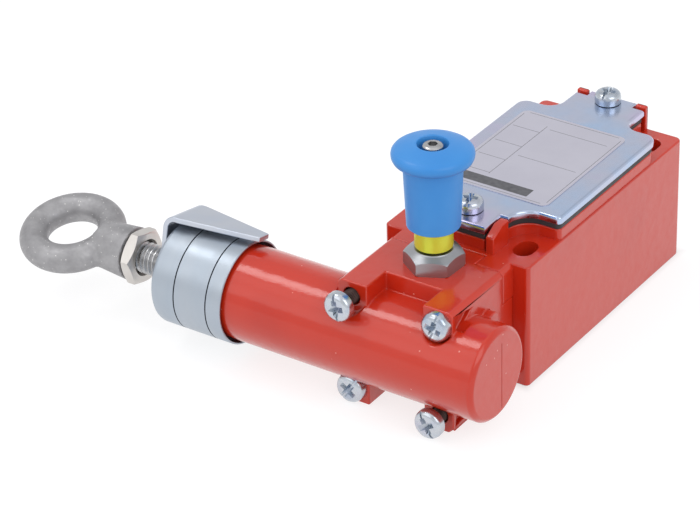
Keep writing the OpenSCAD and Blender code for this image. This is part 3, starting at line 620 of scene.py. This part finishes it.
low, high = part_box("cover_screws")
cover_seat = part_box("cover_plate")[1].z
cover_shank = high.z - low.z - COVER_HEAD_H
piece(joined([laid(screw(COVER_HEAD_R, COVER_HEAD_H, COVER_SHANK_R, length, COVER_PITCH),
                   (x, y, cover_seat + COVER_GAP), turn=turn)
              for x, y, length, turn in (
                  (low.x + COVER_HEAD_R, low.y + COVER_HEAD_R, cover_shank, 62),
                  (high.x - COVER_HEAD_R, high.y - COVER_HEAD_R, cover_shank - FAR_SHANK_LESS, 50))]),
      "cover_screw_pair", (zinc, dark_zinc), "housing", "cover_screws")

# ---- Operating head ----
# Second red casting, across the end of the body: a long tube for the pull rod and its
# spring, between upper and lower ears that take the four long screws.

HEAD_SCREW_R, HEAD_SCREW_H = 3.8 * MM, 2.8 * MM
HEAD_SHANK_R, HEAD_PITCH = 1.98 * MM, 0.7 * MM
STANDS_MOST, STANDS_SOME = 4.4 * MM, 3.4 * MM
SHANK_LEFT = 30 * MM
PARTING, PARTING_SIDE, PARTING_LOW, PARTING_HIGH = 0.22 * MM, 1.6 * MM, 10 * MM, 8 * MM

head_low, head_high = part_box("operating_head")
head_casting = round_edges(copy_of("operating_head"), CAST_EDGE)
bush_low, bush_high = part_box("rod_bush")
rod_y, rod_z = (bush_low.y + bush_high.y) / 2, (bush_low.z + bush_high.z) / 2
tube_r = rod_y - head_low.y
line = brick((head_high.x - PARTING, rod_y + PARTING_SIDE, rod_z - PARTING_LOW),
             (head_high.x + MM, rod_y + PARTING_SIDE + PARTING, rod_z + PARTING_HIGH))
head_casting = cut(head_casting, line)
piece(head_casting, "head_casting", red_coat, "housing", "operating_head")

piece(round_edges(copy_of("rod_bush"), SMALL_EDGE, 2), "rod_bush_turning", brass, "housing", "rod_bush")
piece(round_edges(copy_of("rod_seal"), SMALL_EDGE, 2), "rod_seal_ring", rubber, "housing", "rod_seal")

low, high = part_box("head_screws")
ear_front = low.y + HEAD_SCREW_H + STANDS_MOST
left, right_side = low.x + HEAD_SCREW_R, high.x - HEAD_SCREW_R
lower, upper = low.z + HEAD_SCREW_R, high.z - HEAD_SCREW_R
piece(joined([laid(screw(HEAD_SCREW_R, HEAD_SCREW_H, HEAD_SHANK_R, SHANK_LEFT + out, HEAD_PITCH),
                   (x, ear_front - out, z), -Y, turn)
              for x, z, out, turn in ((right_side, upper, 0, 30), (left, lower, 0, 10),
                                      (left, upper, STANDS_MOST, 55), (right_side, lower, STANDS_SOME, 75))]),
      "head_screw_set", (zinc, dark_zinc), "housing", "head_screws")

# ---- Pull rod and its spring ----
# Steel rod with a rolled M8 thread outside the head. Inside, a ring holds the spring's seat
# and a brass sleeve turns the pull into the plunger's travel.

STEEL = (0.50, 0.50, 0.50)
THREAD_PITCH, THREAD_DEEP, THREAD_STOP = 1.25 * MM, 0.72 * MM, 1.0 * MM
THREAD_STEPS = 28
ROD_CHAMFER, ROD_END_CHAMFER, RING_GROOVE = 1.0 * MM, 0.6 * MM, 0.5 * MM
SPRING_WIRE, SPRING_TURNS = 1.4 * MM, 13

steel = finish("turned_steel", STEEL, metallic=1.0, roughness=0.28)
surface(steel, tones=((0.44, 0.44, 0.44), (0.56, 0.56, 0.57)), tone_scale=200, rough=(0.2, 0.36),
        bumps=((800, 0.004 * MM),), stretch=(1, 3, 3))
rod_low, rod_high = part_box("pull_rod")
rod_r = (rod_high.z - rod_low.z) / 2
ring_low, ring_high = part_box("retaining_ring")
thread_end = bush_low.x - THREAD_STOP
rod = spun([(0, rod_low.x), (rod_r - ROD_CHAMFER, rod_low.x), (rod_r, rod_low.x + ROD_CHAMFER),
            (rod_r, ring_low.x), (rod_r - RING_GROOVE, ring_low.x), (rod_r - RING_GROOVE, ring_high.x),
            (rod_r, ring_high.x), (rod_r, rod_high.x - ROD_END_CHAMFER),
            (rod_r - ROD_END_CHAMFER, rod_high.x), (0, rod_high.x)], 56)


def groove(outer, pitch, deep, start, end, steps):
    """V-shaped thread groove round Z, as a closed solid to take out of a rod."""
    bm = bmesh.new()
    half, flat, over = pitch * 0.47, pitch * 0.06, 0.1 * MM
    verts = [bm.verts.new((r, 0, z)) for r, z in ((outer + over, start - half), (outer - deep, start - flat),
                                                  (outer - deep, start + flat), (outer + over, start + half))]
    section = bm.faces.new(verts)
    turns = (end - start) / pitch
    bmesh.ops.spin(bm, geom=[section, *section.edges, *verts], cent=(0, 0, 0), axis=(0, 0, 1),
                   dvec=(0, 0, pitch / steps), angle=2 * pi * turns, steps=round(turns * steps),
                   use_merge=False)
    bmesh.ops.recalc_face_normals(bm, faces=bm.faces)
    return bm


rod = cut(rod, groove(rod_r, THREAD_PITCH, THREAD_DEEP, rod_low.x - THREAD_PITCH, thread_end, THREAD_STEPS))
piece(laid(rod, (0, rod_y, rod_z), X), "pull_rod_turning", steel, "pull_group", "pull_rod",
      sharp=30)

piece(round_edges(copy_of("spring_seat"), SMALL_EDGE, 2), "spring_seat_washer", steel, "pull_group",
      "spring_seat")
piece(round_edges(copy_of("retaining_ring"), STRIP_EDGE, 2), "retaining_clip", spring_steel, "pull_group",
      "retaining_ring")
piece(round_edges(copy_of("cam_sleeve"), SMALL_EDGE, 2), "cam_turning", brass, "pull_group", "cam_sleeve")
low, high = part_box("tension_spring")
coil_r = (high.z - low.z - SPRING_WIRE) / 2
pull_spring = piece(laid(wound(coil_r, SPRING_WIRE, high.x - low.x, SPRING_TURNS, 28),
                         (low.x, rod_y, rod_z), X), "pull_spring", spring_steel, "housing",
                    "tension_spring")
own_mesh(pull_spring)

# ---- Lock nut, tension pointer, eye nut and collar ----
# A chamfered hexagon nut locks the cast eye nut on the thread. A bent strip on the rod
# points at the grooves of the collar, which is pressed over the end of the tube.

NICKEL = (0.66, 0.63, 0.60)
POINTER_ZINC = (0.58, 0.62, 0.70)
EYE_GREY, EYE_GLINT = (0.39, 0.385, 0.395), (0.75, 0.74, 0.72)
COLLAR_ZINC = (0.45, 0.50, 0.56)
COLLAR_SHADE_BLACK = (0.035, 0.045, 0.06)
NUT_FLAT, NUT_CHAMFER, NUT_ROLL = 13 * MM, 0.6 * MM, 18
NUT_FACE_R = NUT_FLAT * 0.485
NUT_BORE_GAP, NUT_SINK = 0.3 * MM, 0.9 * MM
POINTER_EDGE = 0.3 * MM
EYE_R, EYE_WIRE, EYE_CENTRE, EYE_ROLL = 10.1 * MM, 3.75 * MM, -101.2 * MM, 11.4
EYE_HOLE_R, EYE_REACH, EYE_GRAIN = EYE_R - 0.4 * MM, 8 * MM, 0.38 * MM
NECK_R, NECK_START_R, NECK_LIP, NECK_BORE = 6.9 * MM, 5.2 * MM, 0.75 * MM, 6 * MM
COLLAR_WALL, COLLAR_BORE_GAP, COLLAR_FIT = 1.3 * MM, 1.2 * MM, 0.05 * MM
COLLAR_GROOVES = (7.3 * MM, 16.9 * MM)
GROOVE_WIDE, GROOVE_DEEP = 0.36 * MM, 0.4 * MM
MOUTH_GAP, MOUTH_DEEP, MOUTH_END = 0.85 * MM, 2.5 * MM, 3 * MM


def hexagon(flat, length, turn):
    """Hexagon bar from z = 0, with a corner turned from +X; a cone's own first corner lies on +Y."""
    bm = bmesh.new()
    bmesh.ops.create_cone(bm, cap_ends=True, segments=6, radius1=flat / sqrt(3), radius2=flat / sqrt(3),
                          depth=length, matrix=Matrix.Translation((0, 0, length / 2))
                          @ Matrix.Rotation(radians(turn - 90), 4, "Z"))
    return bm


bright = finish("bright_nickel", NICKEL, metallic=1.0, roughness=0.34)
surface(bright, tones=((0.62, 0.59, 0.56), (0.70, 0.67, 0.64)), tone_scale=160, rough=(0.26, 0.42),
        bumps=((600, 0.004 * MM),))
nut_low, nut_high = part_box("lock_nut")
nut_long = nut_high.x - nut_low.x
nut_corner = NUT_FLAT / sqrt(3)
turned = spun([(0, 0), (NUT_FACE_R, 0), (nut_corner, NUT_CHAMFER), (nut_corner, nut_long - NUT_CHAMFER),
               (NUT_FACE_R, nut_long), (0, nut_long)], 72)
nut = cut(hexagon(NUT_FLAT, nut_long, NUT_ROLL), turned, "INTERSECT")
nut = cut(nut, spun([(0, -MM), (rod_r + NUT_BORE_GAP, -MM), (rod_r + NUT_BORE_GAP, nut_long - NUT_SINK),
                     (rod_r + NUT_SINK, nut_long + 0.1 * MM), (0, nut_long + 0.1 * MM)], 48))
piece(laid(nut, (nut_low.x, rod_y, rod_z), X), "lock_nut_hexagon", bright, "pull_group", "lock_nut")

pointer_strip = finish("pointer_strip", POINTER_ZINC, metallic=1.0, roughness=0.36)
surface(pointer_strip, tones=((0.55, 0.60, 0.69), (0.61, 0.64, 0.70)), tone_scale=150, rough=(0.3, 0.42),
        bumps=((700, 0.004 * MM),))
piece(round_edges(copy_of("tension_indicator"), POINTER_EDGE, 3, 40), "pointer", pointer_strip, "pull_group",
      "tension_indicator")

cast_grey = finish("cast_grey", EYE_GREY, metallic=0.75, roughness=0.48)
eye_place = surface(cast_grey, tones=((0.33, 0.325, 0.335), (0.44, 0.435, 0.445)), tone_scale=260,
                    rough=(0.38, 0.62), rough_scale=1200, bumps=((500, 0.10 * MM), (1800, 0.05 * MM)))
# Painted glints: light specks on the cast eye nut stand in for the sparkle of light on its grain.
specks_and_glints(cast_grey, eye_place, EYE_GLINT, 0.55 * MM, 0.10, 0.26)
ring = bmesh.new()
bmesh.ops.create_circle(ring, cap_ends=False, segments=32, radius=EYE_WIRE,
                        matrix=Matrix.Translation((EYE_R, 0, 0)) @ Matrix.Rotation(pi / 2, 4, "X"))
bmesh.ops.spin(ring, geom=ring.verts[:] + ring.edges[:], cent=(0, 0, 0), axis=(0, 0, 1), angle=2 * pi,
               steps=96, use_merge=True)
bmesh.ops.recalc_face_normals(ring, faces=ring.faces)
neck_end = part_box("eye_nut")[1].x - EYE_CENTRE
neck = spun([(0, 0), (NECK_START_R, 0), (NECK_R, neck_end), (0, neck_end)], 64, X)
hole = spun([(0, -EYE_REACH), (EYE_HOLE_R, -EYE_REACH), (EYE_HOLE_R, EYE_REACH), (0, EYE_REACH)], 64)
eye = as_object(cut(ring, cut(neck, hole), "UNION"), "eye")
melt = eye.modifiers.new("melt", "REMESH")
melt.mode, melt.voxel_size = "VOXEL", EYE_GRAIN
ease = eye.modifiers.new("ease", "SMOOTH")
ease.factor, ease.iterations = 0.5, 14
soft = bmesh.new()
soft.from_object(eye, bpy.context.evaluated_depsgraph_get())
bpy.data.objects.remove(eye)
soft = cut(soft, brick((neck_end - 0.3 * MM, -9 * MM, -9 * MM), (neck_end + 2 * MM, 9 * MM, 9 * MM)))
tip = spun([(0, 0), (NECK_R - 0.15 * MM, 0), (NECK_R - 0.05 * MM, 0.32 * MM), (NECK_R - 0.5 * MM, NECK_LIP),
            (0, NECK_LIP)], 64, X, (neck_end - NECK_LIP, 0, 0))
soft = cut(soft, tip, "UNION")
soft = cut(soft, spun([(0, 0), (rod_r + 0.05 * MM, 0), (rod_r + 0.05 * MM, 8 * MM), (0, 8 * MM)], 40, X,
                      (neck_end - NECK_BORE, 0, 0)))
bmesh.ops.transform(soft, verts=soft.verts, matrix=Matrix.Translation((EYE_CENTRE, rod_y, rod_z))
                    @ Matrix.Rotation(radians(EYE_ROLL), 4, "X"))
piece(soft, "eye_nut_casting", cast_grey, "pull_group", "eye_nut", sharp=50)

collar_metal = finish("collar_metal", COLLAR_ZINC, metallic=0.9, roughness=0.40)
surface(collar_metal, tones=((0.42, 0.48, 0.55), (0.48, 0.52, 0.57)), tone_scale=110, rough=(0.34, 0.46),
        bumps=((300, 0.008 * MM),), stretch=(1, 0.3, 0.3))
collar_low, collar_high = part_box("indicator_collar")
collar_r = (collar_high.z - collar_low.z) / 2
collar_long = collar_high.x - collar_low.x
profile = [(rod_r + COLLAR_BORE_GAP, 0), (collar_r - 1.3 * MM, 0), (collar_r - 0.65 * MM, 0.18 * MM),
           (collar_r - 0.18 * MM, 0.65 * MM), (collar_r, 1.3 * MM)]
for at in COLLAR_GROOVES:
    profile += [(collar_r, at - GROOVE_WIDE / 2), (collar_r - GROOVE_DEEP, at - GROOVE_WIDE / 3),
                (collar_r - GROOVE_DEEP, at + GROOVE_WIDE / 3), (collar_r, at + GROOVE_WIDE / 2)]
profile += [(collar_r, collar_long - 0.25 * MM), (collar_r - 0.15 * MM, collar_long),
            (tube_r + MOUTH_GAP, collar_long), (tube_r + MOUTH_GAP, collar_long - MOUTH_DEEP),
            (tube_r + COLLAR_FIT, collar_long - MOUTH_END), (tube_r + COLLAR_FIT, COLLAR_WALL),
            (rod_r + COLLAR_BORE_GAP, COLLAR_WALL)]
# Painted shade: a near-black finish stands in for the shade in the collar's two grooves and in the mouth
# where it is pressed over the tube.
collar_painted_shade = finish("collar_painted_shade", COLLAR_SHADE_BLACK, roughness=0.5)
surface(collar_painted_shade, tones=((0.03, 0.035, 0.05), (0.05, 0.06, 0.08)), tone_scale=500, rough=(0.4, 0.6))
collar = spun(profile, 128, X)
# Faces in the grooves and in the mouth get the painted shade.
for face in collar.faces:
    spot = face.calc_center_median()
    across = sqrt(spot.y ** 2 + spot.z ** 2)
    in_groove = any(abs(spot.x - at) < GROOVE_WIDE / 2 for at in COLLAR_GROOVES)
    in_mouth = spot.x > collar_long - 3.1 * MM and across < tube_r + MOUTH_GAP - 0.01 * MM
    if in_mouth or (in_groove and across < collar_r - 0.02 * MM):
        face.material_index = 1
bmesh.ops.translate(collar, verts=collar.verts, vec=(collar_low.x, rod_y, rod_z))
piece(collar, "collar_turning", (collar_metal, collar_painted_shade), "housing", "indicator_collar",
      sharp=30)

# ---- Reset bushing and stem ----
# Nickel-plated hexagon bushing screwed into the head, with a rubber lip seal. The stem
# carries the knob, and a spring inside the head pulls it home.

DULL_NICKEL = (0.40, 0.41, 0.43)
HEX_FLAT, HEX_TURN, HEX_EDGE = 13 * MM, 27, 0.3 * MM
HEX_SHOULDER, HEX_SEAT = 3.2 * MM, 33.6 * MM
CONE_R, CONE_TOP_R, CONE_EDGE = 5.2 * MM, 4.9 * MM, 0.35 * MM
STEM_GAP, SEAL_R, SEAL_DEEP = 0.15 * MM, 4 * MM, 1.4 * MM
SLEEVE_BORE, SLEEVE_TIP, SLEEVE_CREST, SLEEVE_ROOT = 4.55 * MM, 5.7 * MM, 6 * MM, 5.5 * MM
RESET_WIRE, RESET_TURNS, RESET_TRAVEL = 1.0 * MM, 6, 6 * MM

stem_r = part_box("reset_stem")[1].x
knob_low, knob_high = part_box("reset_knob")
knob_y = (knob_low.y + knob_high.y) / 2
hex_low, hex_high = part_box("reset_bushing")
hex_tall, hex_corner = hex_high.z - HEX_SEAT, HEX_FLAT / sqrt(3)
cone = spun([(0, 0), (hex_corner - HEX_EDGE, 0), (hex_corner, HEX_EDGE),
             (hex_corner, HEX_SHOULDER - 0.1 * MM), (HEX_FLAT / 2 + 0.5 * MM, HEX_SHOULDER + 0.35 * MM),
             (CONE_R, hex_tall - CONE_EDGE), (CONE_TOP_R, hex_tall), (0, hex_tall)], 96)
bushing = cut(hexagon(HEX_FLAT, hex_tall, HEX_TURN), cone, "INTERSECT")
bore = spun([(0, -MM), (stem_r + STEM_GAP, -MM), (stem_r + STEM_GAP, hex_tall - SEAL_DEEP),
             (SEAL_R, hex_tall - SEAL_DEEP), (SEAL_R, hex_tall + MM), (0, hex_tall + MM)], 56)
bushing = cut(bushing, bore)
bmesh.ops.translate(bushing, verts=bushing.verts, vec=(0, knob_y, HEX_SEAT))
sleeve_long = HEX_SEAT - hex_low.z
sleeve = [(SLEEVE_BORE, 0), (SLEEVE_TIP, 0)]
for i in range(int(sleeve_long / MM)):
    sleeve += [(SLEEVE_CREST, (i + 0.3) * MM), (SLEEVE_ROOT, (i + 0.8) * MM)]
sleeve += [(SLEEVE_CREST, sleeve_long - 0.02 * MM), (SLEEVE_BORE, sleeve_long - 0.02 * MM)]
hex_metal = finish("dull_nickel", DULL_NICKEL, metallic=1.0, roughness=0.36)
surface(hex_metal, tones=((0.36, 0.37, 0.39), (0.44, 0.45, 0.47)), tone_scale=180, rough=(0.3, 0.42),
        bumps=((500, 0.006 * MM),), stretch=(0.3, 0.3, 1))
piece(joined([bushing, spun(sleeve, 56, at=(0, knob_y, hex_low.z))]), "reset_bushing_hexagon", hex_metal,
      "housing", "reset_bushing")
piece(round_edges(copy_of("reset_seal"), SMALL_EDGE, 2), "stem_lip_seal", rubber, "housing", "reset_seal")
piece(round_edges(copy_of("reset_stem"), SMALL_EDGE, 2), "reset_stem_turning", steel, "reset_group",
      "reset_stem")
low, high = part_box("reset_spring")
coil_r = (high.x - low.x - RESET_WIRE) / 2
knob_spring = piece(laid(wound(coil_r, RESET_WIRE, high.z - low.z, RESET_TURNS, 24), (0, knob_y, low.z)),
                    "knob_spring", spring_steel, "housing", "reset_spring")
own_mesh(knob_spring)

# ---- Knob and yellow band ----
# Blue moulded mushroom knob that is pulled to reset, over a yellow anodised band. A
# socket screw in the knob's recess holds both to the stem.

YELLOW = (0.70, 0.73, 0.055)
BLUE = (0.040, 0.27, 0.70)
BAND_EDGE = 0.35 * MM
STEM_BORE, SCREW_BORE, STEM_DEEP = 2.5 * MM, 1.45 * MM, 13.6 * MM
SHAFT_R, SHAFT_EDGE = 6.55 * MM, 0.3 * MM
RECESS_R, RECESS_DEEP = 3.76 * MM, 2.8 * MM
SOCKET_R, SOCKET_DEEP = 1.25 * MM, 1.3 * MM

yellow = finish("yellow_anodised", YELLOW, metallic=0.35, roughness=0.36)
surface(yellow, tones=((0.66, 0.70, 0.045), (0.74, 0.77, 0.07)), tone_scale=300, rough=(0.28, 0.44),
        bumps=((900, 0.003 * MM),))
blue = finish("blue_moulding", BLUE, roughness=0.36)
surface(blue, tones=((0.034, 0.255, 0.68), (0.046, 0.285, 0.72)), rough=(0.34, 0.46),
        bumps=((1500, 0.004 * MM), (90, 0.03 * MM)))
band_low, band_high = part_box("yellow_band")
band_r, band_tall = band_high.x, band_high.z - band_low.z
piece(spun([(STEM_BORE, 0), (band_r, 0), (band_r, band_tall), (STEM_BORE, band_tall)], 96,
           at=(0, knob_y, band_low.z), edge=BAND_EDGE), "anodised_band", yellow, "reset_group", "yellow_band")

tall, flange = knob_high.z - knob_low.z, knob_high.x
crown = [(SHAFT_R - SHAFT_EDGE, 0), (SHAFT_R, SHAFT_EDGE), (SHAFT_R + 0.70 * MM, tall - 5.6 * MM),
         (SHAFT_R + 0.85 * MM, tall - 4.9 * MM), (SHAFT_R + 1.25 * MM, tall - 4.55 * MM),
         (flange - 0.9 * MM, tall - 4.5 * MM), (flange - 0.4 * MM, tall - 4.1 * MM),
         (flange - 0.08 * MM, tall - 3.4 * MM), (flange, tall - 2.7 * MM),
         (flange - 0.12 * MM, tall - 2.1 * MM), (flange - 0.5 * MM, tall - 1.6 * MM),
         (flange - 1.2 * MM, tall - 1.15 * MM), (flange - 3.2 * MM, tall - 0.5 * MM),
         (RECESS_R + 0.5 * MM, tall - 0.02 * MM), (RECESS_R + 0.15 * MM, tall - 0.10 * MM),
         (RECESS_R, tall - 0.35 * MM), (RECESS_R, tall - RECESS_DEEP), (SCREW_BORE, tall - RECESS_DEEP),
         (SCREW_BORE, STEM_DEEP), (STEM_BORE, STEM_DEEP), (STEM_BORE, 0)]
piece(spun(crown, 128, at=(0, knob_y, knob_low.z)), "mushroom_knob", blue, "reset_group", "reset_knob",
      sharp=40)

cap = spun([(r * MM, z * MM) for r, z in (
    (0, -10), (0.9, -10), (1.2, -9.6), (1.2, 0), (3.2, 0), (3.2, 0.4), (3.05, 0.5), (2.6, 0.5), (2.6, 1.5),
    (2.5, 2.2), (2.2, 2.5), (1.7, 2.62), (0, 2.62))], 56)
socket = bmesh.new()
bmesh.ops.create_cone(socket, cap_ends=True, segments=6, radius1=SOCKET_R, radius2=SOCKET_R,
                      depth=SOCKET_DEEP * 2, matrix=Matrix.Translation((0, 0, 2.4 * MM)))
piece(laid(cut(cap, socket), (0, knob_y, knob_high.z - RECESS_DEEP)), "knob_cap_screw", steel, "reset_group",
      "knob_screw")
